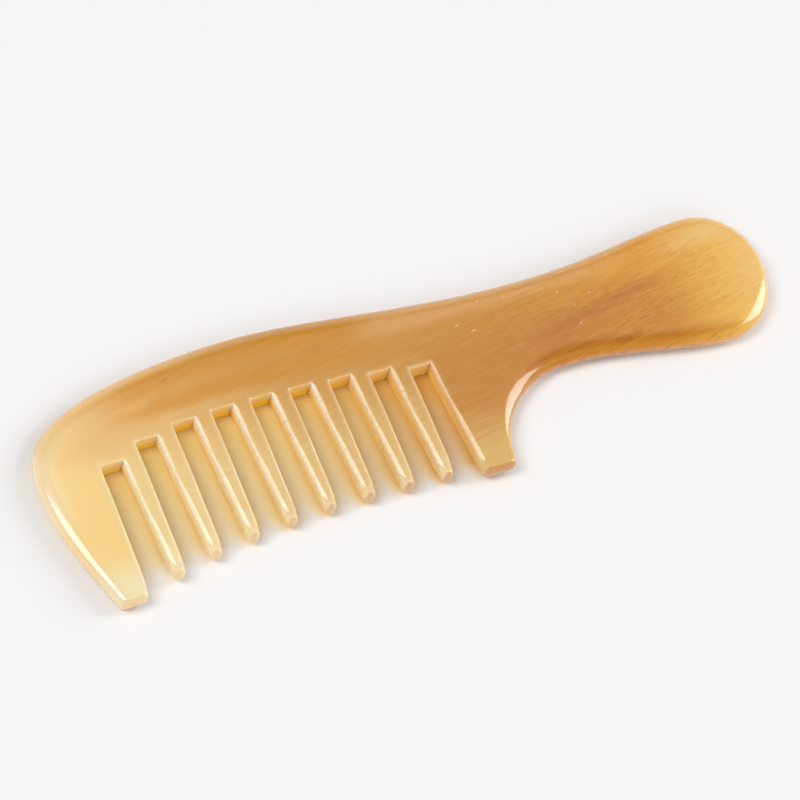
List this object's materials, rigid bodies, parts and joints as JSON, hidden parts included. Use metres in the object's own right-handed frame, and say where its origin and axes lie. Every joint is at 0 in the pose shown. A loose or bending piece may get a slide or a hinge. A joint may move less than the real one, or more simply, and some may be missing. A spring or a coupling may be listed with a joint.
{
  "type": "wide tooth comb",
  "caption": "Flat hair comb with widely spaced tapering teeth between thick end guards and a rounded handle, all sawn from one plate, for detangling.",
  "frame": {"origin": "middle of the comb's length and width, on the plane that its underside lies on", "axes": "+X runs from the nose towards the handle end, -Y is the way the teeth point, +Z is the thickness, up from the face the comb lies on"},
  "size_m": [0.2014, 0.0604, 0.0056],
  "materials": {
    "horn": "polished horn"
  },
  "bodies": {
    "root": {"comb": "horn"}
  },
  "joints": []
}
